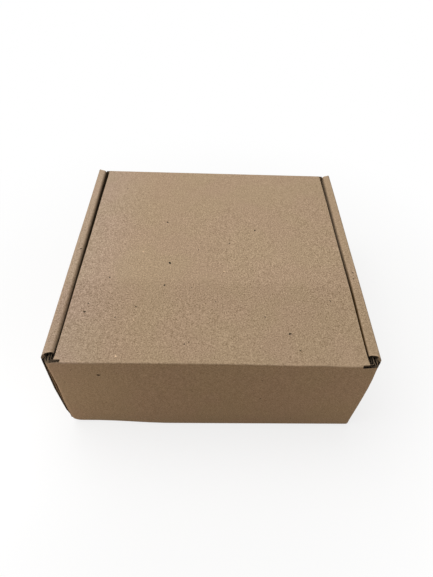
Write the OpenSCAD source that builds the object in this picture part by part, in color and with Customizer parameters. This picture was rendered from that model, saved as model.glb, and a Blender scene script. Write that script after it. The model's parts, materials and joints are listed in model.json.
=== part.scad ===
// A shipping box folded from one die-cut blank of thin corrugated board. Each side wall is rolled over
// to a double wall, and traps the dust flaps of the front and back walls. The lid's front flap hangs
// outside the front wall, and its two ears slide into the rolled walls from the front.
// The origin is on the ground under the middle of the box. The front faces -Y.

/* [Box] */
// Width across the rolled side walls
box_w = 204; // [150:1:400]
// Depth from the back wall to the foot of the front flap
box_d = 195; // [170:1:400]
// Height to the top of the rolled side walls
box_h = 83.6; // [60:0.2:160]

/* [Board] */
// Thickness of the corrugated board
board_t = 1.6; // [1.2:0.1:2.4]
// Outside radius of a creased fold
fold_r = 1.8; // [1.2:0.1:2.6]
// Air between two layers that lie side by side
layer_gap = 0.25; // [0.2:0.05:0.6]

/* [Fluting] */
// Length of one wave of the fluting
flute_pitch = 3.2; // [2.8:0.1:3.8]
// Thickness of a liner, and of the waved sheet between the two liners
liner_t = 0.3; // [0.2:0.05:0.35]
// How far the flutes stand open behind a raw edge
flute_depth = 2; // [1:0.5:4]

/* [Rolled side walls] */
// Distance of the side wall's upright front edge behind the foot of the flap
side_foot_set = 2; // [1.5:0.1:3]
// The same distance at the top of the wall, where the edge has leaned back
side_top_set = 4.7; // [4:0.1:7]
// Height up to which the front edge is upright
side_upright_h = 50; // [20:1:55]
// Extra room for the ear beside the front dust flap
ear_room = 0.35; // [0.3:0.05:1]
// Extra width of the roll at its back, where its layers lie loosely
roll_slack = 1.2; // [0:0.1:2]
// Depth of the arched cut in the roll's front end
end_arch = 3; // [1.5:0.1:4]
// How far the roll's back end slants forward at its inner edge
end_slant = 2; // [0:0.1:4]
// Distance of the inner wall's front edge behind the front wall
inner_wall_set = 1; // [0.5:0.1:3]

/* [Locking tabs] */
// Width of a tab at the foot of an inner side wall
tab_w = 34; // [20:1:50]
// Distance of a tab's middle from the middle of the box
tab_y = 46; // [35:1:60]
// Air around a tab in its floor slot
slot_gap = 0.4; // [0.2:0.1:1]

/* [Dust flaps] */
// Length of the front wall's dust flaps
front_dust_l = 52; // [30:1:60]
// Length of the back wall's dust flaps
back_dust_l = 60; // [30:1:70]
// Air under a dust flap
dust_lift = 1; // [0.5:0.1:3]
// Size of the bevel at a dust flap's free corners
dust_bevel = 9; // [3:1:15]

/* [Lid] */
// How far the lid lies below the top of the rolled walls
lid_drop = 0.6; // [0.2:0.1:1.5]
// Slit between the lid and the inner wall at the front
lid_gap_front = 0.4; // [0.3:0.1:2]
// The same slit at the back
lid_gap_back = 3.4; // [1:0.1:5]
// Length of the cut at each end of the front fold, from the lid's side edge
end_cut_l = 4; // [2:0.5:10]
// Width of the left cut between the lid's corner and the shoulder of the flap
left_cut_w = 0.5; // [0.4:0.1:2]
// Depth of the right shoulder under the lid's corner, which reaches the fold line there
right_cut_h = 0.9; // [0.4:0.1:3]

/* [Front flap] */
// Angle by which the closed flap stands away from upright
flap_lean = 0.5; // [0:0.1:1]
// Air under the flap's foot
flap_lift = 0.6; // [0.3:0.1:3]
// Radius of the flap's lower left corner
corner_left_r = 7; // [2:0.5:8]
// Radius of the flap's lower right corner
corner_right_r = 2.5; // [2:0.5:8]
// Air around the fold line that the flap turns on
hinge_gap = 0.2; // [0.2:0.05:0.4]

/* [Ears] */
// Length of an ear behind the fold line of the flap
ear_l = 40; // [25:1:42]
// Drop of the ear's top edge at its tip
ear_slope = 8; // [2:1:15]
// Radius of the ear's bowed back edge
ear_nose_r = 50; // [40:1:80]
// Height of the ear's lower end above the ground
ear_foot_h = 8; // [6:0.5:15]
// Air between the ear and the floor as the flap swings
ear_floor_gap = 1.5; // [1:0.1:3]

/* [Hidden] */
$fn = 64;
kraft = [0.68, 0.58, 0.47];
past = 1;
out_x = box_w / 2;
back_y = box_d / 2;
foot_y = -box_d / 2;
// An open cell of the fluting between two waves, narrow at its crest and wide at its foot
cell_rise = board_t - 2.5 * liner_t;
cell_crest = flute_pitch / 2 - liner_t;
cell_foot = 2 * liner_t;
// The lid's board
lid_top_z = box_h - lid_drop;
lid_under_z = lid_top_z - board_t;
// The line that the flap turns on, in the middle of the board's thickness
hinge_z = lid_top_z - board_t / 2;
flap_h = (hinge_z - flap_lift) / cos(flap_lean);
hinge_y = foot_y + board_t / 2 * cos(flap_lean) + flap_h * sin(flap_lean);
// The front wall stands behind the flap
front_wall_y = hinge_y + board_t / 2 + layer_gap;
front_in_y = front_wall_y + board_t;
back_in_y = back_y - board_t;
wall_top_z = lid_under_z - layer_gap;
// Beside the lid, the back wall ends in the middle of the lid's fold, just inside the rolled walls
back_shoulder_z = lid_top_z - board_t / 2;
// The front edge of an outer side wall
side_foot_y = foot_y + side_foot_set;
side_top_y = foot_y + side_top_set;
// The roll holds four layers at the front and three at the back, so its inner wall runs askew
roll_front_w = 4 * board_t + 3 * layer_gap + ear_room;
roll_back_w = 3 * board_t + 2 * layer_gap + roll_slack;
roll_run = back_in_y - front_in_y;
askew = atan((roll_front_w - roll_back_w) / roll_run);
inner_front_x = out_x - roll_front_w;
inner_back_x = out_x - roll_back_w;
function inner_face_x(y) = inner_front_x + (y - front_in_y) * tan(askew);
roll_under_z = box_h - board_t;
dust_top_z = min(roll_under_z - layer_gap, wall_top_z);
dust_foot_z = board_t + dust_lift;
// The arched cut meets the outer edge where the side wall's top begins
arch_half = 0.7 * roll_front_w;
arch_r = (pow(arch_half, 2) + pow(end_arch, 2)) / (2 * end_arch);
arch_y = side_top_y + end_arch - arch_r;
// The outer faces of the ears and of the back dust flaps
ear_x = out_x - board_t - layer_gap;
front_dust_x = out_x - roll_front_w + 2 * board_t + layer_gap;
// The lid is a little wider at the front than at the back
lid_front_half = inner_front_x - lid_gap_front;
lid_back_half = inner_back_x - lid_gap_back;
back_shoulder_half = inner_back_x - layer_gap;
fold_half = lid_front_half - end_cut_l;
// The left shoulder stands beside the lid's edge, and the right one ends under the lid's corner
lid_left_y = hinge_y + board_t / 2 + left_cut_w;
left_shoulder = board_t / 2 - layer_gap;
right_shoulder = -board_t / 2 - right_cut_h;
ear_sweep_r = hinge_z - board_t - ear_floor_gap;

// Draws its children with their first axis along Y and their second along Z, from x0 to x1
module along_x(x0, x1) {
    translate([x0, 0, 0])
        rotate([90, 0, 90])
            linear_extrude(x1 - x0)
                children();
}

// Draws its children with their second axis along Z, from y0 to y1
module along_y(y0, y1) {
    translate([0, y1, 0])
        rotate([90, 0, 0])
            linear_extrude(y1 - y0)
                children();
}

module along_z(z0, z1) {
    translate([0, 0, z0])
        linear_extrude(z1 - z0)
            children();
}

module block(x0, x1, y0, y1, z0, z1) {
    translate([x0, y0, z0])
        cube([x1 - x0, y1 - y0, z1 - z0]);
}

module both_sides() {
    children();
    mirror([1, 0, 0])
        children();
}

// What a fold of radius r takes off a square corner at the origin, whose board lies along +x and +y
module corner_waste(r) {
    difference() {
        translate([-past, -past])
            square(r + past);
        translate([r, r])
            circle(r);
    }
}

// The open cells in a raw edge of board that runs from the origin along +x, with its thickness along +y
module flute_cells(run) {
    for (i = [0 : floor(2 * run / flute_pitch) - 2])
        translate([i * flute_pitch / 2, i % 2 == 0 ? liner_t : board_t - liner_t])
            scale([1, i % 2 == 0 ? 1 : -1])
                polygon([
                    [cell_foot, 0],
                    [flute_pitch - cell_foot, 0],
                    [flute_pitch - cell_crest, cell_rise],
                    [cell_crest, cell_rise]
                ]);
}

// The same cells in an upright raw edge of an outer side wall, from y0 to y1
module side_wall_cells(y0, y1) {
    foot = fold_r + liner_t;
    along_y(y0, y1)
        translate([out_x, foot])
            rotate(90)
                flute_cells(roll_under_z - fold_r - foot);
}

// And in an end of the roll's top, which is width wide there
module roll_top_cells(width, y0, y1) {
    along_y(y0, y1)
        translate([out_x - width + liner_t, roll_under_z])
            flute_cells(width - 2 * liner_t);
}

// Places its children in the askew frame of the right inner wall. There x runs outward from the
// wall's inner face, and y runs back from the front wall
module askew_frame() {
    translate([inner_front_x, front_in_y, 0])
        rotate([0, 0, -askew])
            children();
}

// The outer side wall, with its front edge leaning back above side_upright_h
module outer_side_wall() {
    along_x(out_x - board_t, out_x)
        polygon([
            [side_foot_y, 0],
            [back_y, 0],
            [back_y, box_h],
            [side_top_y, box_h],
            [side_foot_y, side_upright_h]
        ]);
}

// The narrow panel on top of the roll, between its two folds
module roll_top() {
    along_z(roll_under_z, box_h)
        polygon([
            [out_x, side_top_y],
            [out_x, back_y],
            [inner_face_x(back_y - end_slant), back_y - end_slant],
            [inner_face_x(side_top_y), side_top_y]
        ]);
}

// The inner side wall hangs from the roll and stops just over the floor, apart from its two tabs
module inner_side_wall() {
    askew_frame() {
        block(0, board_t, inner_wall_set, roll_run / cos(askew) - end_slant,
            board_t + layer_gap, box_h);
        tabs(tab_w, board_t, layer_gap);
    }
}

// Two tabs of width w and thickness t, centred on the inner wall, from height foot up into the wall
module tabs(w, t, foot) {
    middle = -front_in_y;
    for (y = [middle - tab_y, middle + tab_y])
        block((board_t - t) / 2, (board_t + t) / 2, y - w / 2, y + w / 2,
            foot, board_t + 2 * layer_gap);
}

module floor_slots() {
    both_sides()
        askew_frame()
            tabs(tab_w + 2 * slot_gap, board_t + 2 * slot_gap, -past);
}

// The open flutes in the raw front and back edges of the outer wall and of the roll's top
module open_flutes() {
    intersection() {
        side_wall_cells(foot_y, side_top_y + flute_depth);
        along_x(out_x - board_t, out_x)
            polygon([
                [foot_y, 0],
                [side_foot_y + flute_depth, 0],
                [side_foot_y + flute_depth, side_upright_h],
                [side_top_y + flute_depth, box_h],
                [foot_y, box_h]
            ]);
    }
    side_wall_cells(back_y - flute_depth, back_y + past);
    roll_top_cells(roll_front_w, foot_y, side_top_y + end_arch + flute_depth);
    roll_top_cells(roll_back_w, back_y - end_slant - flute_depth, back_y + past);
}

// One rolled side wall: outer wall, top and inner wall, with rounded folds and an arched front end
module rolled_side() {
    difference() {
        union() {
            outer_side_wall();
            roll_top();
            inner_side_wall();
        }
        along_y(foot_y, back_y + past)
            translate([out_x, box_h])
                rotate(180)
                    corner_waste(fold_r);
        askew_frame()
            along_y(-inner_wall_set - board_t - past, roll_run + board_t + past)
                translate([0, box_h])
                    rotate(-90)
                        corner_waste(fold_r);
        along_z(roll_under_z - fold_r, box_h + past)
            translate([out_x - arch_half, arch_y])
                circle(arch_r);
        open_flutes();
    }
}

// The outline of a dust flap of length l, from its fold at the origin, with its free end bevelled
module dust_outline(l) {
    polygon([
        [0, dust_foot_z],
        [l - dust_bevel, dust_foot_z],
        [l, dust_foot_z + dust_bevel],
        [l, dust_top_z - dust_bevel],
        [l - dust_bevel, dust_top_z],
        [0, dust_top_z]
    ]);
}

// The plan of the right front dust flap: the fold at the end of the front wall, and the flap behind it,
// which lies along the askew inner wall
module front_dust_plan() {
    translate([front_dust_x - fold_r, front_wall_y + fold_r]) {
        intersection() {
            difference() {
                circle(fold_r);
                circle(fold_r - board_t);
            }
            polygon([
                [0, 0],
                [0, -2 * fold_r],
                [2 * fold_r, -2 * fold_r],
                2 * fold_r * [cos(askew), -sin(askew)]
            ]);
        }
        rotate(-askew)
            translate([fold_r - board_t, 0])
                square([board_t, front_dust_l - fold_r]);
    }
}

// The front wall, and its dust flaps that lie against the inner side walls
module front_wall() {
    block(fold_r - front_dust_x, front_dust_x - fold_r, front_wall_y, front_in_y, 0, wall_top_z);
    both_sides()
        difference() {
            along_z(dust_foot_z, dust_top_z)
                front_dust_plan();
            for (z = [dust_foot_z, dust_top_z])
                translate([0, front_wall_y + front_dust_l, z])
                    rotate([45, 0, 0])
                        cube([box_w, sqrt(2) * dust_bevel, sqrt(2) * dust_bevel], center = true);
        }
}

// The back wall, and its dust flaps that lie against the outer side walls
module back_wall() {
    difference() {
        union() {
            block(-ear_x, ear_x, back_in_y, back_y, 0, dust_top_z);
            block(-back_shoulder_half, back_shoulder_half, back_in_y, back_y, 0, back_shoulder_z);
            block(-lid_back_half, lid_back_half, back_in_y, back_y, 0, lid_top_z);
            both_sides()
                along_x(ear_x - board_t, ear_x)
                    translate([back_y, 0])
                        mirror([1, 0])
                            dust_outline(back_dust_l);
        }
        both_sides()
            along_z(-past, box_h)
                translate([ear_x, back_y])
                    rotate(180)
                        corner_waste(fold_r);
    }
}

// The lid, from the fold at the top of the back wall to the rounded edge at the front fold.
// A short cut at each end of that fold parts the lid from the flap's shoulders
module lid() {
    along_z(lid_under_z, lid_top_z)
        polygon([
            [-lid_back_half, back_y],
            [lid_back_half, back_y],
            [lid_back_half, back_in_y],
            [lid_front_half, hinge_y],
            [-fold_half, hinge_y],
            [-fold_half, lid_left_y],
            [-lid_front_half, lid_left_y],
            [-lid_back_half, back_in_y]
        ]);
    along_x(-fold_half, fold_half)
        translate([hinge_y, hinge_z])
            circle(board_t / 2);
}

module floor_panel() {
    block(-out_x, out_x, front_wall_y, back_y, 0, board_t);
}

// The whole blank but for its front flap: one sheet from the floor up to the lid
module carton() {
    color(kraft)
        difference() {
            union() {
                difference() {
                    union() {
                        floor_panel();
                        front_wall();
                        back_wall();
                        lid();
                    }
                    floor_slots();
                }
                both_sides()
                    rolled_side();
            }
            // The fold between the back wall and the lid
            along_x(-back_shoulder_half, back_shoulder_half)
                translate([back_y, lid_top_z])
                    rotate(180)
                        corner_waste(fold_r);
            // The folds around the floor
            along_x(-out_x - past, out_x + past)
                translate([back_y, 0])
                    rotate(90)
                        corner_waste(fold_r);
            along_x(-ear_x, ear_x)
                translate([front_wall_y, 0])
                    corner_waste(fold_r);
            both_sides()
                along_y(foot_y, back_y + past)
                    translate([out_x, 0])
                        rotate(90)
                            corner_waste(fold_r);
        }
}

// The outline of the flap's panel seen from the front, with the fold line at the origin's height
module flap_outline() {
    r1 = corner_left_r;
    r2 = corner_right_r;
    foot = -flap_h + max(r1, r2);
    translate([-ear_x, foot])
        square([ear_x, left_shoulder - foot]);
    translate([0, foot])
        square([fold_half + hinge_gap, -foot]);
    translate([0, foot])
        square([ear_x, right_shoulder - foot]);
    translate([-ear_x + r1, -flap_h])
        square([2 * ear_x - r1 - r2, max(r1, r2) + past]);
    translate([-ear_x + r1, -flap_h + r1])
        circle(r1);
    translate([ear_x - r2, -flap_h + r2])
        circle(r2);
    translate([ear_x - r2, -flap_h + r2])
        square([r2, max(r1, r2) - r2 + past]);
}

// The outline of an ear seen from the side, with its front top corner at height top. Its lower end
// follows the circle that it swings on
module ear_outline(top) {
    intersection() {
        polygon([
            [-board_t / 2, top],
            [ear_l, top - ear_slope],
            [ear_l, -flap_h],
            [ear_l - board_t, ear_foot_h - hinge_z],
            [-board_t / 2, ear_foot_h - hinge_z]
        ]);
        translate([ear_l - ear_nose_r, -flap_h / 2])
            circle(ear_nose_r);
        circle(ear_sweep_r);
    }
}

// The open flutes in the raw edges of the flap: along its foot, and along its left and right shoulders
module flap_flutes() {
    shoulder_l = ear_x - fold_r - fold_half;
    along_z(-flap_h - past, -flap_h + flute_depth)
        translate([corner_left_r - ear_x, -board_t / 2])
            flute_cells(2 * ear_x - corner_left_r - corner_right_r);
    along_z(left_shoulder - flute_depth, left_shoulder + past)
        translate([fold_r - ear_x, -board_t / 2])
            flute_cells(shoulder_l);
    along_z(right_shoulder - flute_depth, right_shoulder + past)
        translate([fold_half, -board_t / 2])
            flute_cells(shoulder_l);
}

// The front flap and its two ears, with their fold rounded and the hinge line cut clear of the lid
module front_flap() {
    color(kraft)
        translate([0, hinge_y, hinge_z])
            rotate([-flap_lean, 0, 0])
                difference() {
                    union() {
                        along_y(-board_t / 2, board_t / 2)
                            flap_outline();
                        along_x(-ear_x, board_t - ear_x)
                            ear_outline(-left_shoulder);
                        along_x(ear_x - board_t, ear_x)
                            ear_outline(right_shoulder);
                    }
                    both_sides()
                        along_z(-flap_h - past, box_h)
                            translate([ear_x, -board_t / 2])
                                rotate(90)
                                    corner_waste(fold_r);
                    flap_flutes();
                    along_x(-fold_half - hinge_gap, fold_half + hinge_gap) {
                        circle(board_t / 2 + hinge_gap);
                        translate([-board_t, 0])
                            square(2 * board_t);
                        translate([0, -board_t / 2 - hinge_gap])
                            square(board_t);
                    }
                }
}

carton();
front_flap();
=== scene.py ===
import json
from math import cos, pi, radians, sin, tan

import bmesh
import bpy
import numpy as np
from mathutils import Matrix, Vector
from mathutils.bvhtree import BVHTree
from mathutils.geometry import intersect_point_line


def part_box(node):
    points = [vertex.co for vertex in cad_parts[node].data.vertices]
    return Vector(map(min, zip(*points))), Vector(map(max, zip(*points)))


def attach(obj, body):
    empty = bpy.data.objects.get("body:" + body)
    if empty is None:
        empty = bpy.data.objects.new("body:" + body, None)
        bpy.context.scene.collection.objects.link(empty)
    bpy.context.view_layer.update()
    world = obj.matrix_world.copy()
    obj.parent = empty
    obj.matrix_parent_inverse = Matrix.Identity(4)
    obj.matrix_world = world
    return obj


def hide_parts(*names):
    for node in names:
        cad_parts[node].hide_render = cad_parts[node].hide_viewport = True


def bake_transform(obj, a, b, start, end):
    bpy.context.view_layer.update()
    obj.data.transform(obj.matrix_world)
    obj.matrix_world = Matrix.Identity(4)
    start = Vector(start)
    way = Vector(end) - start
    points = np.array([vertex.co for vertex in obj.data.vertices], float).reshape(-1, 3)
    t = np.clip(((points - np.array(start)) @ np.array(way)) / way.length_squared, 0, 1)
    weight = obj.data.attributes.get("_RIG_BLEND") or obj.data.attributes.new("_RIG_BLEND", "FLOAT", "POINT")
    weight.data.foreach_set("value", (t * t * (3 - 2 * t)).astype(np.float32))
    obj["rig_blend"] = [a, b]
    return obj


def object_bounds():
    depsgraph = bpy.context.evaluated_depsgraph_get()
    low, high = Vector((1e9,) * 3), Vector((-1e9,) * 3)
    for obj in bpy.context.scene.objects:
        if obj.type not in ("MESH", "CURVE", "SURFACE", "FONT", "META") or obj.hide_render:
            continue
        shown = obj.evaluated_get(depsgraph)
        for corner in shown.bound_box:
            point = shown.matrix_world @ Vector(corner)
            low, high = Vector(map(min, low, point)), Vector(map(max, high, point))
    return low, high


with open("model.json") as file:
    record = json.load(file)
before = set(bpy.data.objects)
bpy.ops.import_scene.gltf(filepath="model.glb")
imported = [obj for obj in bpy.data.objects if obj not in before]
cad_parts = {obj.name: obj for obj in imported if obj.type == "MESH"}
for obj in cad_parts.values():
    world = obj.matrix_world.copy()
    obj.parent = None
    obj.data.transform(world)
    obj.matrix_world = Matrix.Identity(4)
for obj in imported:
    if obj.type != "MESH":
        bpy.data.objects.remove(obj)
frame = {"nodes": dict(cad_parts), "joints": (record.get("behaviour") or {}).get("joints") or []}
cad_low, cad_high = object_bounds()

# Camera
# A hand-held camera close above the front of the box, tilted down at it and a little off level.
# The picture is 433 by 577 pixels, and the lens looks at a point a little right of its middle.
picture_h = 577
focal_length_px = 426.88
lens_off_x_px = 9.91
lens_off_y_px = 0.17
camera_place = Vector((-0.00249, -0.22698, 0.30331))
camera_pitch = radians(49.281)
camera_turn = radians(3.231)
camera_roll = radians(3.392)


def make_camera():
    ahead = Vector((
        sin(camera_turn) * cos(camera_pitch),
        cos(camera_turn) * cos(camera_pitch),
        -sin(camera_pitch),
    ))
    level = Vector((cos(camera_turn), -sin(camera_turn), 0))
    upright = level.cross(ahead)
    right = level * cos(camera_roll) + upright * sin(camera_roll)
    up = upright * cos(camera_roll) - level * sin(camera_roll)
    lens = bpy.data.cameras.new("camera")
    lens.sensor_width = 36
    lens.lens = focal_length_px * lens.sensor_width / picture_h
    lens.shift_x = -lens_off_x_px / picture_h
    lens.shift_y = lens_off_y_px / picture_h
    lens.clip_start = 0.01
    camera = bpy.data.objects.new("camera", lens)
    camera.matrix_world = Matrix((right, up, -ahead)).transposed().to_4x4()
    camera.location = camera_place
    bpy.context.scene.collection.objects.link(camera)
    bpy.context.scene.camera = camera


make_camera()

# Carton
# One sheet of thin corrugated board, die-cut, creased and folded: the floor, four walls, two rolled
# side walls and the lid. It is brown kraft paper throughout, two liners glued to a waved sheet.
board = 0.0016
flute_pitch = 0.0032
# The board is cut into a grid of this step, and twice more beside the front fold
grid_step = 0.012
near_fold = 0.0015
far_fold = 0.004
back_y = cad_high.y
top_z = cad_high.z
fold_y, fold_z = frame["joints"][0]["pos_m"][1:]
lid_z = fold_z + board / 2
lid_half = 0.094
# The planes between the lid's side edge and the roll, and behind the front flap
roll_x = 0.0943
flap_y = -0.0955
# The front wall's foot is pushed in at its left end by this much
wall_push = 0.0016
kraft_tone = (0.398, 0.285, 0.185)
# A painted soft shadow darkens the lid from here to the front
painted_shadow_y = -0.032


class Wire:
    """A value in a material's nodes. Python's operators on it add the Math nodes."""

    def __init__(self, finish, end):
        self.finish = finish
        self.end = end

    def maths(self, operation, *others):
        return self.finish.node("Math", {"operation": operation}, dict(enumerate((self, *others))))

    def __add__(self, other):
        return self.maths("ADD", other)

    __radd__ = __add__

    def __mul__(self, other):
        return self.maths("MULTIPLY", other)

    __rmul__ = __mul__

    def __sub__(self, other):
        return self.maths("SUBTRACT", other)

    def __rsub__(self, other):
        return self.finish.node("Math", {"operation": "SUBTRACT"}, {0: other, 1: self})

    def over(self, low, high):
        """0 below low, 1 above high, and smooth between them."""
        settings = {"interpolation_type": "SMOOTHSTEP"}
        return self.finish.node("MapRange", settings, {"Value": self, "From Min": low, "From Max": high})

    def under(self, low, high):
        """1 below low, 0 above high, and smooth between them."""
        return 1 - self.over(low, high)


class Finish:
    """A material whose nodes are being laid."""

    def __init__(self, name):
        self.material = bpy.data.materials.new(name)
        self.material.use_nodes = True
        self.nodes = self.material.node_tree.nodes
        self.nodes.clear()

    def node(self, kind, settings=None, inputs=None, output=0):
        made = self.nodes.new("ShaderNode" + kind)
        for key, value in (settings or {}).items():
            setattr(made, key, value)
        for key, value in (inputs or {}).items():
            if isinstance(value, Wire):
                self.material.node_tree.links.new(value.end, made.inputs[key])
            else:
                made.inputs[key].default_value = value
        return Wire(self, made.outputs[output]) if made.outputs else None

    def place(self, turn=(0, 0, 0), scale=(1, 1, 1)):
        """The point on the piece, turned and then stretched."""
        point = self.node("TexCoord", None, None, "Object")
        turned = self.node("Mapping", None, {"Vector": point, "Rotation": turn})
        return self.node("Mapping", None, {"Vector": turned, "Scale": scale})

    def noise(self, place, scale, detail=2.0, roughness=0.5):
        inputs = {"Vector": place, "Scale": scale, "Detail": detail, "Roughness": roughness}
        return self.node("TexNoise", None, inputs, "Fac")

    def attribute(self, name):
        return self.node("Attribute", {"attribute_name": name}, None, "Fac")

    def mix(self, share, below, above):
        return self.node("Mix", {"data_type": "RGBA"}, {0: share, 6: below, 7: above}, 2)

    def tinted(self, colour, tint):
        return self.node("VectorMath", {"operation": "MULTIPLY"}, {0: colour, 1: tint})

    def part(self, place, axis):
        return self.node("SeparateXYZ", None, {0: place}, axis)

    def flute_wave(self):
        """A sine that runs once over each flute, from -1 to 1."""
        return self.attribute("across").maths("MULTIPLY", 2 * pi / flute_pitch).maths("SINE")

    def flecks(self, place, scale, radius, share):
        """Round specks of a radius, in metres, in a share of the cells of a grid of 1 / scale metres."""
        inputs = {"Vector": place, "Scale": scale}
        near = self.node("TexVoronoi", None, inputs, "Distance")
        colour = self.node("TexVoronoi", None, inputs, "Color")
        chance = self.node("SeparateColor", None, {"Color": colour}, "Red")
        return near.under(radius * scale * 0.6, radius * scale) * chance.under(share, share + 0.01)

    def surface(self, colour, roughness, height=None, depth=0.0):
        """Ends the material in a dull paper surface, with a relief of the given depth in metres."""
        inputs = {"Base Color": colour, "Roughness": roughness, "Specular IOR Level": 0.12}
        if height is not None:
            bump = {"Height": height, "Distance": depth, "Strength": 1.0}
            inputs["Normal"] = self.node("Bump", None, bump)
        shader = self.node("BsdfPrincipled", None, inputs)
        self.node("OutputMaterial", None, {"Surface": shader})
        return self.material


def paint(share, tone=kraft_tone):
    return (tone[0] * share, tone[1] * share, tone[2] * share, 1.0)


def liner_finish():
    """The kraft liner: mottled grain, fibres, dark specks, faint ribs over the flutes and worn creases, a
    pale line along its cut edges that is partly the cut's burr and partly a painted highlight, and painted
    shade in the slits and the rolls' mouths. On the lid it is coarser towards the front, darker under a
    painted soft shadow over its front part, and paler and cooler towards the left."""
    finish = Finish("kraft_liner")
    place = finish.place()
    stretch = (1, 3, 3)
    cloud = finish.noise(place, 16, 2.0)
    patch = finish.noise(place, 34, 1.0)
    mottle = finish.noise(place, 240, 3.0, 0.6)
    wear = finish.noise(place, 300, 2.0)
    grain = finish.noise(place, 1150, 3.0, 0.8)
    fibre = finish.noise(finish.place((0, 0, radians(35)), stretch), 900, 3.0, 0.7)
    tilt = (radians(20), radians(60), radians(-50))
    cross_fibre = finish.noise(finish.place(tilt, stretch), 900, 3.0, 0.7)
    rib = finish.flute_wave()
    on_lid = finish.part(place, "Z").over(fold_z - 0.001, fold_z)
    depth = finish.part(place, "Y")
    # A painted soft shadow darkens the lid in front of its boundary
    painted_shadow_front = on_lid * depth.under(painted_shadow_y - 0.005, painted_shadow_y + 0.005)
    coarse = 0.75 + on_lid * (0.55 * depth.under(0.02, 0.085) - 0.35 * depth.under(-0.09, -0.04))
    weight = 0.5 + 0.06 * (cloud - 0.5) + 0.16 * (mottle - 0.5) + 0.0065 * rib - 0.08 * painted_shadow_front
    weight = weight + coarse * (2.0 * (grain - 0.5) + 1.2 * (fibre - 0.5) + 1.2 * (cross_fibre - 0.5))
    light = (kraft_tone[0] * 1.5, kraft_tone[1] * 1.53, kraft_tone[2] * 1.6, 1.0)
    dark = (kraft_tone[0] * 0.5, kraft_tone[1] * 0.47, kraft_tone[2] * 0.4, 1.0)
    colour = finish.mix(weight, dark, light)
    red_tint = (1.007, 0.995, 1.013, 1)
    green_tint = (0.993, 1.004, 0.987, 1)
    colour = finish.tinted(colour, finish.mix(patch.over(0.35, 0.65), red_tint, green_tint))
    left_end = on_lid * finish.part(place, "X").under(-0.1, -0.045)
    colour = finish.tinted(colour, finish.mix(left_end, (1, 1, 1, 1), (1.03, 1.055, 1.165, 1)))
    worn = finish.attribute("fold").under(0.0001, 0.0013) * wear.over(0.35, 0.7)
    colour = finish.mix(0.35 * worn, colour, paint(1.25))
    # A pale line along the cut edges: partly the cut's burr, partly a painted highlight
    rim = finish.attribute("rim").under(0.0001, 0.0004)
    colour = finish.mix(0.45 * rim, colour, paint(1.25))
    specks = finish.flecks(place, 330, 0.00022, 0.5)
    colour = finish.mix(0.45 * specks, colour, paint(0.3))
    straws = finish.flecks(finish.place((0, 0, radians(30)), (0.4, 1, 1)), 260, 0.0002, 0.4)
    colour = finish.mix(0.5 * straws, colour, paint(1.8))
    # Painted shade down in the slits beside the lid, in a warm dark brown
    colour = finish.mix(finish.attribute("slit"), colour, paint(0.17, (0.44, 0.24, 0.075)))
    # Painted shade, near black, in the mouths of the rolled walls
    colour = finish.mix(finish.attribute("mouth"), colour, paint(0.035))
    relief = 0.5 * grain + 0.35 * fibre + 0.35 * cross_fibre + 0.12 * rib + 0.5 * mottle
    return finish.surface(colour, 0.86 + 0.1 * (grain - 0.5), relief, 0.00012)


def raw_edge_finish():
    """A cut edge that runs along the flutes: the two liners, with the waved sheet's flank between them.
    Down in the slits and in the rolls' ends it takes painted shade."""
    finish = Finish("raw_edge")
    fuzz = finish.noise(finish.place(), 2200, 3.0, 0.7)
    liner = (finish.attribute("through") - 0.5).maths("ABSOLUTE").over(0.33, 0.4)
    colour = finish.mix(liner, paint(0.32), paint(0.8))
    colour = finish.mix(0.5 * fuzz.over(0.35, 0.65), colour, paint(0.45))
    # Painted shade down in the slits beside the lid
    colour = finish.mix(finish.attribute("slit"), colour, paint(0.18))
    # Painted shade on the raw edges in the rolls' ends and on the right shoulder's top, less on the liners
    colour = finish.mix(finish.attribute("end") * (0.97 - 0.4 * liner), colour, paint(0.03))
    return finish.surface(colour, 0.95, fuzz + 0.8 * liner, 0.0002)


def cut_flutes_finish():
    """A cut edge across the flutes: the two liners, and the wave between them, with painted shade in its
    cells. The slits take painted shade, and in the rolls' ends painted shade covers all but the liners."""
    finish = Finish("cut_flutes")
    fuzz = finish.noise(finish.place(), 2200, 3.0, 0.7)
    through = finish.attribute("through")
    sheet = (through - (0.5 + 0.3 * finish.flute_wave())).maths("ABSOLUTE").under(0.08, 0.15)
    liner = (through - 0.5).maths("ABSOLUTE").over(0.29, 0.33)
    paper = sheet.maths("MAXIMUM", liner)
    # The cells between the wave and the liners are holes, given painted shade, near black
    colour = finish.mix(paper * (0.6 + 0.5 * (fuzz - 0.5)), paint(0.035), paint(1.0))
    # Painted shade down in the slits beside the lid
    colour = finish.mix(0.75 * finish.attribute("slit"), colour, paint(0.06))
    # Painted shade in the rolls' ends and on the right shoulder's top, on all but the liners
    colour = finish.mix(finish.attribute("end") * (0.97 - 0.8 * liner), colour, paint(0.03))
    return finish.surface(colour, 0.95, paper + 0.2 * fuzz, 0.0004)


def flute_finish():
    """The walls of a flute's cell, of the waved sheet's darker paper, darkened further by painted shade."""
    finish = Finish("waved_sheet")
    fuzz = finish.noise(finish.place(), 1600, 2.0, 0.6)
    return finish.surface(finish.mix(fuzz, paint(0.05), paint(0.15)), 0.95, fuzz, 0.0001)


board_finishes = (liner_finish(), raw_edge_finish(), cut_flutes_finish(), flute_finish())
LINER, RAW, CUT, CELL = range(4)

# What tells the kinds of faces apart
flat_angle = radians(0.2)
inside_angle = -radians(20)
crease_angle = radians(2)
cell_area = flute_pitch * 0.002
liner_depth = 1.55 * board
straight_width = 1.3 * board
sideways = 0.7


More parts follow.
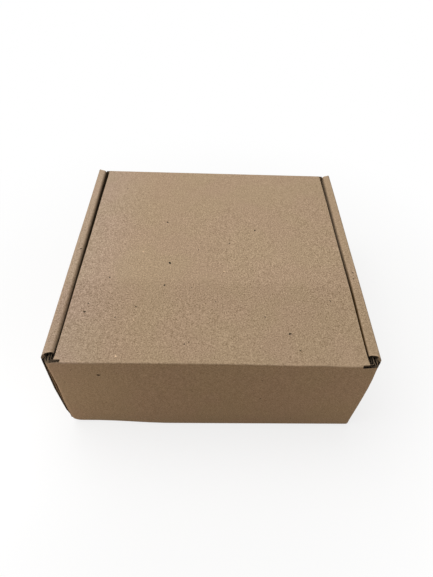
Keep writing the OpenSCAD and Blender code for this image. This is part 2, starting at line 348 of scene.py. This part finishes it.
def flat_regions(shape):
    """Groups the triangles of a CAD copy into the flat faces that they make up."""
    left = set(shape.faces)
    while left:
        region = [left.pop()]
        for face in region:
            for edge in face.edges:
                for other in edge.link_faces:
                    if other in left and edge.calc_face_angle(pi) < flat_angle:
                        left.remove(other)
                        region.append(other)
        yield region


def open_cell(region):
    """True for a wall of an open flute: it is small, and most of its edges are inside corners."""
    members = set(region)
    rim = [e for face in region for e in face.edges if not members.issuperset(e.link_faces)]
    hollow = [e for e in rim if e.calc_face_angle_signed(0) < inside_angle]
    return sum(face.calc_area() for face in region) < cell_area and len(hollow) > 1


def nearest_side(sides, spot):
    """The edge among some that comes nearest to a spot."""
    def gap(edge):
        first, last = (vert.co for vert in edge.verts)
        share = intersect_point_line(spot, first, last)[1]
        return (first.lerp(last, min(max(share, 0), 1)) - spot).length

    return min(sides, key=gap)


def mark_kinds(shape):
    """Sorts the faces into liner, raw edges along and across the flutes, and the walls of open flutes.
    A liner has the board's other face straight behind it. On a raw edge, each face also keeps the two
    directions through the board and along the edge, and where the board's thickness starts. Where the
    edge turns a corner or a roll, each face takes them from the side of the edge that it lies nearest."""
    kind = shape.faces.layers.int.new("kind")
    through = shape.faces.layers.float_vector.new("through_way")
    along = shape.faces.layers.float_vector.new("along_way")
    start = shape.faces.layers.float.new("through_start")
    solid = BVHTree.FromBMesh(shape)
    regions = list(flat_regions(shape))
    for region in regions:
        face = max(region, key=lambda f: f.calc_area())
        origin = face.calc_center_median() - face.normal * 1e-5
        depth = solid.ray_cast(origin, -face.normal)[3] or 1.0
        sort = CELL if open_cell(region) else LINER if depth < liner_depth else RAW
        for face in region:
            face[kind] = sort
    for region in regions:
        if region[0][kind] != RAW:
            continue
        rim = {e: f for face in region for e in face.edges for f in e.link_faces if f[kind] != RAW}
        sides = [e for e in rim if rim[e][kind] == LINER] or region[0].edges[:]
        longest = max(sides, key=lambda e: e.calc_length())
        run = (longest.verts[1].co - longest.verts[0].co).normalized()
        way = region[0].normal.cross(run)
        spots = [vert.co.dot(way) for face in region for vert in face.verts]
        straight = max(spots) - min(spots) < straight_width
        cells_shown = any(face[kind] == CELL for face in rim.values())
        across_flutes = abs(region[0].normal.x) < sideways and not cells_shown
        for face in region:
            face[through] = way
            face[along] = run
            face[start] = min(spots)
            face[kind] = CUT if across_flutes else RAW
            if straight:
                continue
            centre = face.calc_center_median()
            side = nearest_side(sides, centre)
            own_run = (side.verts[1].co - side.verts[0].co).normalized()
            if own_run.dot(run + 0.3 * way) < 0:
                own_run.negate()
            own_way = face.normal.cross(own_run)
            level = side.verts[0].co.dot(own_way)
            face[through] = own_way
            face[along] = own_run
            face[start] = level if centre.dot(own_way) > level else level - board
    return kind


def lines_between(shape, kind, test):
    """The ends of the edges that pass a test on their two faces' kinds and their angle."""
    found = []
    for edge in shape.edges:
        if len(edge.link_faces) == 2:
            sorts = sorted(face[kind] for face in edge.link_faces)
            if test(sorts, edge.calc_face_angle(0)):
                found.append([list(v.co) for v in edge.verts])
    return np.array(found)


def nearest_line(points, lines):
    """The distance of each point from the nearest of some lines."""
    best = np.full(len(points), 1.0)
    for start, end in lines:
        along = end - start
        share = np.clip((points - start) @ along / max(along @ along, 1e-14), 0, 1)
        best = np.minimum(best, np.linalg.norm(points - start - share[:, None] * along, axis=1))
    return best


def over(value, low, high):
    """0 below low, 1 above high, and smooth between them."""
    share = np.clip((value - low) / (high - low), 0, 1)
    return share * share * (3 - 2 * share)


def under(value, low, high):
    """1 below low, 0 above high, and smooth between them."""
    return over(-value, -high, -low)


# How far hand-folded board lies off the drawn box
fold_bow = 0.0005
fold_dip = 0.0008
highest_rise = 0.00048
lid_sag = 0.0006
lid_skew = 0.0004
roll_waver = 0.0001
right_roll_set = 0.0004
edge_relief = 0.0026
edge_relief_h = 0.014
left_wall_draw = 0.0022
right_wall_draw = 0.001
left_flap_spread = 0.0008
right_flap_spread = 0.00135
# The paper's face lies a hair inside the drawn size, so that the flecks on it keep within it
paper_inset = 0.9994


def fold_rise(x):
    """How far the front fold stands above its straight line: it bows up left of the middle, and dips
    towards its right end."""
    bow = 0.0003 + fold_bow * np.exp(-(((x + 0.016) / 0.028) ** 2))
    dip = fold_dip * over(x, 0.005, 0.045)
    corner = fold_dip * over(x, 0.062, 0.082) * under(x, 0.083, 0.098)
    ripple = 0.0001 * np.sin(x / 0.0063)
    return np.minimum(bow - dip - corner - ripple, highest_rise)


def raised(x, y, z):
    """How much higher the board lies: the front fold bows, the lid sags and the rolls' tops waver."""
    side = np.abs(x)
    across = np.clip(1 - (x / lid_half) ** 2, 0, 1)
    along = np.clip(1 - (y / back_y) ** 2, 0, 1)
    sag = lid_sag * across * along * (1 + 0.3 * np.sin(x / 0.021 + y / 0.034))
    waver = roll_waver * (1.6 + np.sin(y / 0.017 + np.sign(x))) * over(side, 0.094, 0.097)
    near_top = over(z, 0.5 * top_z, 0.97 * top_z)
    lid_front = under(y, -0.095, -0.045) * under(side, 0.0938, 0.0945)
    return fold_rise(x) * near_top * lid_front - (sag + waver) * near_top


def pushed_in(x, y, z, push):
    """How much further back the board lies: the front's foot is pushed in at its left end, the right roll
    has given way at its top, and the left side wall's front edge steps back at the floor."""
    low_share = np.clip(1 - z / fold_z, 0, 1) ** 1.1
    left_end = under(x, -0.085, -0.03) * over(x, -0.1004, -0.0995)
    foot = push * left_end * low_share * under(y, -0.085, -0.03)
    right_top = over(x, 0.0955, 0.101) * over(z, 0.035, 0.07)
    roll = right_roll_set * right_top * under(y, -0.09, -0.03)
    left_edge = np.clip(1 - z / edge_relief_h, 0, 1) ** 2 * under(x, -0.101, -0.1)
    return foot + roll + edge_relief * left_edge * under(y, flap_y, -0.07)


def flap_aside(x, y, z, pinch):
    """How much further right the flap lies: it is pinched in at its top left corner, and its foot spreads
    before both side walls."""
    high_share = over(z, 0.02, 0.06)
    left_end = under(x, -0.099, -0.08)
    lean = pinch * high_share * left_end
    left = left_flap_spread * (1 - high_share) * (1 + 0.5 * np.clip(1 - z / 0.02, 0, 1)) * left_end
    right = right_flap_spread * under(z, 0.06, 0.078) * np.clip(0.8 + z / 0.15, 0, 1)
    right = right * over(x, 0.08, 0.099)
    right = right + 0.0002 * over(x, 0.096, 0.0985) * under(z, 0.001, 0.004)
    return lean + (right - left) * under(y, -0.0965, flap_y)


def walls_aside(x, y, z):
    """How much further right the front ends of the side walls lie: both are drawn in, the left at its
    foot and the right in its middle."""
    left = left_wall_draw * np.clip(1 - z / 0.02, 0, 1) ** 1.5 * under(x, -0.0945, -0.08)
    right = right_wall_draw * (under(z, 0.068, 0.08) + 0.5 * under(z, 0.035, 0.05))
    right = right * over(x, 0.08, 0.0945)
    return (left - right) * under(y, -0.09, -0.05)


def slits_aside(x, y, z):
    """How much further right the edges of the slits lie: the lid is wider at its back than drawn and
    narrower at its front, and the right roll's edge leans in at its front."""
    side = np.abs(x)
    front = under(y, -0.08, -0.03)
    lid_edge = np.sign(x) * over(side, 0.08, 0.09) * (side < roll_x)
    wider = lid_skew * (over(y, 0, 0.07) - front) * lid_edge
    roll_edge = (x >= roll_x) * under(x, 0.0965, 0.1) * front
    return (wider - lid_skew * roll_edge) * over(z, 0.07, 0.078) * over(y, flap_y, -0.093)


def settle(points, push, pinch=0.0):
    """Moves points of the drawn box to where hand-folded board lies, inside the box's outer size. Only
    the flap has a pinch."""
    x, y, z = points.T
    flap_share = under(y, flap_y, -0.0925) * (pinch > 0)
    aside = flap_aside(x, y, z, pinch) * flap_share
    drawn = walls_aside(x, y, z) * (1 - flap_share)
    settled_x = (x + aside + drawn + slits_aside(x, y, z)) * paper_inset
    settled_y = (y + pushed_in(x, y, z, push)) * paper_inset
    return np.stack([settled_x, settled_y, z + raised(x, y, z)], 1)


def edge_places(shape, kind):
    """For each corner of each face, its place along a raw edge or across the flutes, and its place
    through the board from 0 to 1."""
    through = shape.faces.layers.float_vector["through_way"]
    along = shape.faces.layers.float_vector["along_way"]
    start = shape.faces.layers.float["through_start"]
    across_places = []
    through_places = []
    for face in shape.faces:
        raw = face[kind] in (RAW, CUT)
        for loop in face.loops:
            spot = loop.vert.co
            flat = spot.z if abs(face.normal.x) > sideways else spot.x
            across_places.append(spot.dot(face[along]) if raw else flat)
            through_places.append((spot.dot(face[through]) - face[start]) / board if raw else 0.0)
    return across_places, through_places


def nook(points):
    """Masks of painted shade: how far a point lies down in the slits beside the lid and in the mouths of
    the rolled walls, and how far it belongs to the rolls' ends and the right shoulder's top, where the
    cut edges take painted shade."""
    x, y, z = points.T
    side = np.abs(x)
    # Painted shade down in the slits beside the lid, weaker towards the back and halved on the left
    beside_lid = over(side, 0.0915, 0.0925) * under(side, 0.0967, 0.0975)
    rim_z = np.where(side > roll_x, top_z, lid_z)
    slit = beside_lid * over(rim_z - z, 0.0001, 0.0009) * (0.1 + 0.9 * under(y, -0.05, 0.03))
    # Painted shade over the left roll's top towards its slit
    left_roll_shade = 0.6 * over(x, -0.0974, -0.0953) * under(x, -0.0944, -0.0943)
    slit = np.maximum(slit * (1 - 0.5 * (x < 0)), left_roll_shade)
    slit = slit * over(z, 0.06, 0.07) * over(y, -0.0946, -0.0944)
    roll_end = under(y, -0.088, -0.084)
    behind_flap = over(y, -0.0956, -0.0953)
    near_top = over(z, 0.074, 0.076)
    # Painted shade in the mouths of the rolled walls, below their tops
    mouth = over(side, 0.0935, 0.0945) * under(side, 0.1, 0.1004) * roll_end * behind_flap
    mouth = mouth * over(top_z - z, 0.0005, 0.0012) * near_top
    # Painted shade for the cut edges in the rolls' ends, and three quarters of it on the right shoulder's
    # top
    end = over(side, 0.088, 0.089) * roll_end * near_top * behind_flap
    right_shoulder = 0.75 * over(x, 0.088, 0.089) * over(z, 0.078, 0.079) * (y < flap_y)
    return slit, mouth, np.maximum(end, right_shoulder)


def shade_smooth(mesh):
    mesh.polygons.foreach_set("use_smooth", np.ones(len(mesh.polygons), bool))


def folded_board(name, node, body, push, pinch=0.0):
    """A piece of board with the CAD node's form, cut into a grid so that it can sag, and dressed."""
    shape = bmesh.new()
    shape.from_mesh(frame["nodes"][node].data)
    bmesh.ops.remove_doubles(shape, verts=shape.verts, dist=1e-6)
    shape.normal_update()
    kind = mark_kinds(shape)
    folds = lines_between(shape, kind, lambda k, angle: k == [LINER, LINER] and angle > crease_angle)
    rims = lines_between(shape, kind, lambda k, angle: k in ([LINER, RAW], [LINER, CUT]))
    low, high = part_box(node)
    beside_fold = (
        [],
        [fold_y + near_fold, fold_y + far_fold],
        [fold_z - near_fold, fold_z - far_fold],
    )
    for axis in range(3):
        normal = Vector((axis == 0, axis == 1, axis == 2))
        places = list(np.arange(low[axis] + grid_step / 2, high[axis], grid_step))
        for place in places + beside_fold[axis]:
            bmesh.ops.bisect_plane(
                shape,
                geom=shape.verts[:] + shape.edges[:] + shape.faces[:],
                dist=1e-7,
                plane_co=normal * place,
                plane_no=normal,
            )
    across, through = edge_places(shape, kind)
    mesh = bpy.data.meshes.new(name)
    shape.to_mesh(mesh)
    shape.free()
    points = np.zeros(len(mesh.vertices) * 3, np.float32)
    mesh.vertices.foreach_get("co", points)
    points = points.reshape(-1, 3).astype(float)
    slit, mouth, end = nook(points)
    rest = {"fold": nearest_line(points, folds), "rim": nearest_line(points, rims)}
    rest.update({"slit": slit, "mouth": mouth, "end": end})
    for attribute, values in rest.items():
        mesh.attributes.new(attribute, "FLOAT", "POINT").data.foreach_set("value", values)
    for attribute, values in (("across", across), ("through", through)):
        mesh.attributes.new(attribute, "FLOAT", "CORNER").data.foreach_set("value", values)
    kinds = np.zeros(len(mesh.polygons), np.int32)
    mesh.attributes["kind"].data.foreach_get("value", kinds)
    for finish in board_finishes:
        mesh.materials.append(finish)
    mesh.polygons.foreach_set("material_index", kinds)
    moved = settle(points, push, pinch)
    mesh.vertices.foreach_set("co", moved.astype(np.float32).ravel())
    shade_smooth(mesh)
    mesh.set_sharp_from_angle(angle=radians(28))
    mesh.update()
    piece = bpy.data.objects.new(name, mesh)
    bpy.context.scene.collection.objects.link(piece)
    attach(piece, body)
    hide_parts(node)
    return piece


carton = folded_board("carton_board", "carton", "carton", wall_push)

# Front flap
# The lid's front panel with its two ears, of the same sheet. It hangs outside the front wall, its
# ears slid into the rolled side walls, and its left foot is pushed in against the wall behind.
flap_push = 0.002
flap_pinch = 0.0012
front_flap = folded_board("front_flap_board", "front_flap", "front_flap", flap_push, flap_pinch)

# Front fold
# The outer liner where the crease between lid and flap is bent over. It is one skin on both, and
# lies bare and a little puffed along the crease.
skin_reach = 0.0032
skin_lift = 0.00007
skin_sink = 0.00002
skin_step = 0.003
skin_thickness = 0.0003
crease_half = 0.0899
flap_lean = radians(0.5)
arc_steps = 8


def skin_section(depth):
    """Points across the fold, from the lid over the crease down to the flap, at a depth under the skin's
    face, and their distance from the crease as a share of its reach."""
    section = []
    for share in (1.0, 0.6, 0.3, 0.1):
        lift = skin_lift * (1 - share) - skin_sink * share - depth
        section.append((fold_y + share * skin_reach, lid_z + lift, share))
    for step in range(arc_steps + 1):
        turn = pi / 2 + (pi / 2 + flap_lean) * step / arc_steps
        radius = board / 2 + skin_lift - depth
        section.append((fold_y + radius * cos(turn), fold_z + radius * sin(turn), 0.0))
    for share in (0.1, 0.3, 0.6, 1.0):
        radius = board / 2 + skin_lift * (1 - share) - skin_sink * share - depth
        drop = share * skin_reach
        section.append((fold_y - radius - drop * tan(flap_lean), fold_z - drop, share))
    return section


def make_front_fold():
    ring = skin_section(0) + skin_section(skin_thickness)[::-1]
    rows = np.linspace(-crease_half, crease_half, int(2 * crease_half / skin_step))
    points = np.array([(x, y, z) for x in rows for y, z, share in ring])
    around = len(ring)
    faces = [tuple(range(around)), tuple(range(len(points) - 1, len(points) - 1 - around, -1))]
    for row in range(len(rows) - 1):
        for spot in range(around):
            first = row * around + spot
            second = row * around + (spot + 1) % around
            faces.append((first, first + around, second + around, second))
    mesh = bpy.data.meshes.new("front_fold_skin")
    on_lid = settle(points, wall_push)
    on_flap = settle(points, flap_push, flap_pinch)
    settled = np.where(points[:, 2:] > fold_z, on_lid, on_flap)
    mesh.from_pydata(settled.tolist(), [], faces)
    reach = np.array([share * skin_reach for x in rows for y, z, share in ring])
    mesh.attributes.new("fold", "FLOAT", "POINT").data.foreach_set("value", reach)
    mesh.attributes.new("rim", "FLOAT", "POINT").data.foreach_set("value", np.full(len(points), 1.0))
    mesh.attributes.new("across", "FLOAT", "POINT").data.foreach_set("value", points[:, 0].copy())
    mesh.materials.append(board_finishes[LINER])
    shade_smooth(mesh)
    mesh.set_sharp_from_angle(angle=radians(40))
    shell = bmesh.new()
    shell.from_mesh(mesh)
    bmesh.ops.recalc_face_normals(shell, faces=shell.faces)
    shell.to_mesh(mesh)
    shell.free()
    skin = bpy.data.objects.new("front_fold_skin", mesh)
    bpy.context.scene.collection.objects.link(skin)
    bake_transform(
        skin,
        "carton",
        "front_flap",
        (0, fold_y + 0.0008, lid_z),
        (0, fold_y - 0.0008, fold_z - 0.0008),
    )


make_front_fold()

# Flecks in the paper
# Recycled kraft holds bits of dark bark and ink, and pale straws that lie in its face. A tree of
# Geometry Nodes strews them over both liners, and the lid's largest ones have places of their own.
fleck_height = 0.00005
fold_margin = 0.0035
lowest_facing = -0.5
smallest_share = (0.35, 0.4, 0.8)


def fleck_tree():
    """Strews flat lens-shaped bits over the liner, but not underneath or near a fold."""
    tree = bpy.data.node_groups.new("strewn_flecks", "GeometryNodeTree")
    tree.interface.new_socket("Geometry", in_out="INPUT", socket_type="NodeSocketGeometry")
    for name in ("Density", "Length", "Width", "Height"):
        tree.interface.new_socket(name, in_out="INPUT", socket_type="NodeSocketFloat")
    tree.interface.new_socket("Seed", in_out="INPUT", socket_type="NodeSocketInt")
    tree.interface.new_socket("Material", in_out="INPUT", socket_type="NodeSocketMaterial")
    tree.interface.new_socket("Geometry", in_out="OUTPUT", socket_type="NodeSocketGeometry")

    def node(kind, settings=None, inputs=None):
        made = tree.nodes.new(kind)
        for key, value in (settings or {}).items():
            setattr(made, key, value)
        for key, value in (inputs or {}).items():
            if isinstance(value, bpy.types.NodeSocket):
                tree.links.new(value, made.inputs[key])
            else:
                made.inputs[key].default_value = value
        return made

    given = node("NodeGroupInput").outputs
    read = "GeometryNodeInputNamedAttribute"
    compare = "FunctionNodeCompare"
    both = "FunctionNodeBooleanMath"
    random = "FunctionNodeRandomValue"
    same = {"data_type": "INT", "operation": "EQUAL"}
    more = {"operation": "GREATER_THAN"}
    kind = node(read, {"data_type": "INT"}, {"Name": "kind"}).outputs[0]
    liner = node(compare, same, {2: kind, 3: LINER}).outputs[0]
    normal = node("GeometryNodeInputNormal").outputs[0]
    facing = node("ShaderNodeSeparateXYZ", None, {0: normal}).outputs[2]
    upper = node(compare, more, {0: facing, 1: lowest_facing}).outputs[0]
    fold = node(read, {"data_type": "FLOAT"}, {"Name": "fold"}).outputs[0]
    flat = node(compare, more, {0: fold, 1: fold_margin}).outputs[0]
    shown = node(both, None, {0: liner, 1: upper}).outputs[0]
    shown = node(both, None, {0: shown, 1: flat}).outputs[0]
    inputs = {"Mesh": given["Geometry"], "Selection": shown}
    inputs.update({"Density": given["Density"], "Seed": given["Seed"]})
    points = node("GeometryNodeDistributePointsOnFaces", None, inputs).outputs
    bit = node("GeometryNodeMeshIcoSphere", None, {"Radius": 1.0, "Subdivisions": 2}).outputs[0]
    spin = node(random, None, {2: 0.0, 3: 2 * pi, "Seed": 5}).outputs[1]
    turn = node("ShaderNodeCombineXYZ", None, {2: spin}).outputs[0]
    local = {"rotation_space": "LOCAL"}
    lie = node("FunctionNodeRotateRotation", local, {0: points["Rotation"], 1: turn}).outputs[0]
    sizes = {0: given["Length"], 1: given["Width"], 2: given["Height"]}
    size = node("ShaderNodeCombineXYZ", None, sizes).outputs[0]
    shares = {0: smallest_share, 1: (1.0, 1.0, 1.0), "Seed": 6}
    share = node(random, {"data_type": "FLOAT_VECTOR"}, shares).outputs[0]
    scale = node("ShaderNodeVectorMath", {"operation": "MULTIPLY"}, {0: size, 1: share}).outputs[0]
    inputs = {"Points": points["Points"], "Instance": bit, "Rotation": lie, "Scale": scale}
    placed = node("GeometryNodeInstanceOnPoints", None, inputs).outputs[0]
    real = node("GeometryNodeRealizeInstances", None, {0: placed}).outputs[0]
    inputs = {"Geometry": real, "Material": given["Material"]}
    coloured = node("GeometryNodeSetMaterial", None, inputs).outputs[0]
    node("NodeGroupOutput", None, {0: coloured})
    return tree


def bit_finish(name, low, high):
    finish = Finish(name)
    place = finish.place()
    colour = finish.mix(finish.noise(place, 700, 2.0).over(0.35, 0.65), paint(low), paint(high))
    return finish.surface(colour, 0.85, finish.noise(place, 4000, 2.0), 0.00004)


def strew(name, host, body, values):
    """Runs the tree on a copy of the host piece, and keeps the bits as a plain mesh on a body."""
    carrier = bpy.data.objects.new(name + "_carrier", host.data)
    bpy.context.scene.collection.objects.link(carrier)
    strewn = carrier.modifiers.new("flecks", "NODES")
    strewn.node_group = flecks_tree
    for item in flecks_tree.interface.items_tree:
        if item.name in values:
            strewn[item.identifier] = values[item.name]
    bpy.context.view_layer.update()
    ready = carrier.evaluated_get(bpy.context.evaluated_depsgraph_get())
    mesh = bpy.data.meshes.new_from_object(ready)
    bpy.data.objects.remove(carrier)
    mesh.name = name
    mesh.materials.clear()
    mesh.materials.append(values["Material"])
    mesh.polygons.foreach_set("material_index", np.zeros(len(mesh.polygons), np.int32))
    shade_smooth(mesh)
    piece = bpy.data.objects.new(name, mesh)
    bpy.context.scene.collection.objects.link(piece)
    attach(piece, body)


# Large flecks, as places across and along the top, or across and up the front, in mm, and half lengths
top_dark_flecks = ((-32, -14, 1.15), (-37, 30, 0.9), (-34, -35, 0.8), (-83, -59, 0.85), (-82, -52, 0.6),
                   (-72, -29, 0.7), (-51, -54, 0.6), (-18, -83, 0.6), (48, -74, 1.0), (31, 23, 0.9),
                   (33, -61, 0.6), (78, -47, 0.6), (53, -86, 0.5), (1, -49, 0.5), (-63, -63, 0.6),
                   (11, 8, 0.7), (-12, 0, 0.6), (98.5, -21, 0.7), (97.7, -27, 0.6), (-97, -2, 0.8))
top_pale_flecks = ((7, -21, 0.8), (-52, -3, 0.9), (-58, -92, 0.8), (-51, -65, 0.6))
front_dark_flecks = ((-70, 69, 1.2), (32, 40, 0.5))
clear_of_box = 200


def place_flecks(name, host, body, flecks, on_top, material):
    """Lays single flecks on the host piece where a line down onto its top, or into its front, meets it."""
    bits = bmesh.new()
    for across, along, half_length in flecks:
        start = (across, along, clear_of_box) if on_top else (across, -clear_of_box, along)
        way = Vector((0, 0, -1) if on_top else (0, 1, 0))
        spot, facing = host.ray_cast(Vector(start) / 1000, way)[1:3]
        size = Matrix.Diagonal((half_length / 1000, half_length / 1500, fleck_height, 1))
        turn = Matrix.Rotation(radians(37 * across + 11 * along), 4, "Z")
        lie = facing.to_track_quat("Z", "Y").to_matrix().to_4x4()
        made = bmesh.ops.create_icosphere(bits, subdivisions=2, radius=1.0, matrix=size)
        for vert in made["verts"]:
            vert.co.y += half_length / 4000 * sin(vert.co.x * 2600 / half_length + across)
        bmesh.ops.transform(bits, matrix=Matrix.Translation(spot) @ lie @ turn, verts=made["verts"])
    mesh = bpy.data.meshes.new(name)
    bits.to_mesh(mesh)
    bits.free()
    mesh.materials.append(material)
    shade_smooth(mesh)
    piece = bpy.data.objects.new(name, mesh)
    bpy.context.scene.collection.objects.link(piece)
    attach(piece, body)


flecks_tree = fleck_tree()
dark_bit = bit_finish("bark_fleck", 0.02, 0.08)
pale_bit = bit_finish("pale_straw", 1.4, 2.0)
dark_values = {"Density": 620, "Length": 0.0005, "Width": 0.0003, "Height": fleck_height, "Seed": 3}
pale_values = {"Density": 700, "Length": 0.0013, "Width": 0.00009, "Height": fleck_height, "Seed": 8}
for host, body in ((carton, "carton"), (front_flap, "front_flap")):
    strew(body + "_dark_flecks", host, body, {**dark_values, "Material": dark_bit})
    strew(body + "_pale_straws", host, body, {**pale_values, "Material": pale_bit})
place_flecks("top_dark_flecks", carton, "carton", top_dark_flecks, True, dark_bit)
place_flecks("top_pale_flecks", carton, "carton", top_pale_flecks, True, pale_bit)
place_flecks("front_placed_flecks", front_flap, "front_flap", front_dark_flecks, False, dark_bit)

# Floor, backdrop and light
# A plain pale floor that is white away from the box, under one large soft lamp, a weak sky, and two
# small lamps that fill in the front from low down on both sides.
floor_half = 3.0
floor_drop = 0.0003
shadow_reach = 0.25
near_white = 0.74
floor_colour = (0.9, 0.9, 0.9, 1)
# The light that the floor throws back at the box
bounce_colour = (0.42, 0.31, 0.2, 1)
sky_colour = (1.0, 0.98, 0.95, 1)
lamp_size = 1.1
lamp_place = Vector((-0.30, 0.13, 1.15))
lamp_power = 11.6
fill_size = 0.08
left_fill_place = Vector((-0.21, -0.155, 0.05))
left_fill_power = 0.058
right_fill_place = Vector((0.22, -0.19, 0.06))
right_fill_power = 0.032
sky_strength = 0.35


def make_floor():
    finish = Finish("pale_floor")
    seen = finish.node("LightPath", None, None, "Is Camera Ray")
    colour = finish.mix(seen, bounce_colour, floor_colour)
    shade = finish.node("BsdfDiffuse", None, {"Color": colour})
    white = finish.node("Emission", None, {"Color": (1, 1, 1, 1)})
    far = finish.node("VectorMath", {"operation": "LENGTH"}, {0: finish.place()}, "Value")
    away = far.over(0.6 * shadow_reach, 1.3 * shadow_reach)
    share = seen * (near_white + (1 - near_white) * away)
    shader = finish.node("MixShader", None, {0: share, 1: shade, 2: white})
    finish.node("OutputMaterial", None, {"Surface": shader})
    mesh = bpy.data.meshes.new("floor")
    corners = [(-1, -1), (1, -1), (1, 1), (-1, 1)]
    mesh.from_pydata([(x * floor_half, y * floor_half, -floor_drop) for x, y in corners], [], [(0, 1, 2, 3)])
    mesh.materials.append(finish.material)
    floor = bpy.data.objects.new("floor", mesh)
    bpy.context.scene.collection.objects.link(floor)


def make_sky():
    world = bpy.data.worlds.new("studio")
    world.use_nodes = True
    nodes = world.node_tree.nodes
    links = world.node_tree.links
    path = nodes.new("ShaderNodeLightPath")
    seen = nodes.new("ShaderNodeBackground")
    mixer = nodes.new("ShaderNodeMixShader")
    nodes["Background"].inputs["Color"].default_value = sky_colour
    nodes["Background"].inputs["Strength"].default_value = sky_strength
    seen.inputs["Color"].default_value = (1, 1, 1, 1)
    links.new(path.outputs["Is Camera Ray"], mixer.inputs[0])
    links.new(nodes["Background"].outputs[0], mixer.inputs[1])
    links.new(seen.outputs[0], mixer.inputs[2])
    links.new(mixer.outputs[0], nodes["World Output"].inputs["Surface"])
    bpy.context.scene.world = world


def make_lamp(name, place, size, power):
    light = bpy.data.lights.new(name, "AREA")
    light.size = size
    light.energy = power
    lamp = bpy.data.objects.new(name, light)
    lamp.location = place
    lamp.rotation_euler = (-place).to_track_quat("-Z", "Y").to_euler()
    bpy.context.scene.collection.objects.link(lamp)


make_floor()
make_sky()
make_lamp("soft_lamp", lamp_place, lamp_size, lamp_power)
make_lamp("left_fill", left_fill_place, fill_size, left_fill_power)
make_lamp("right_fill", right_fill_place, fill_size, right_fill_power)
bpy.context.scene.view_settings.view_transform = "Standard"
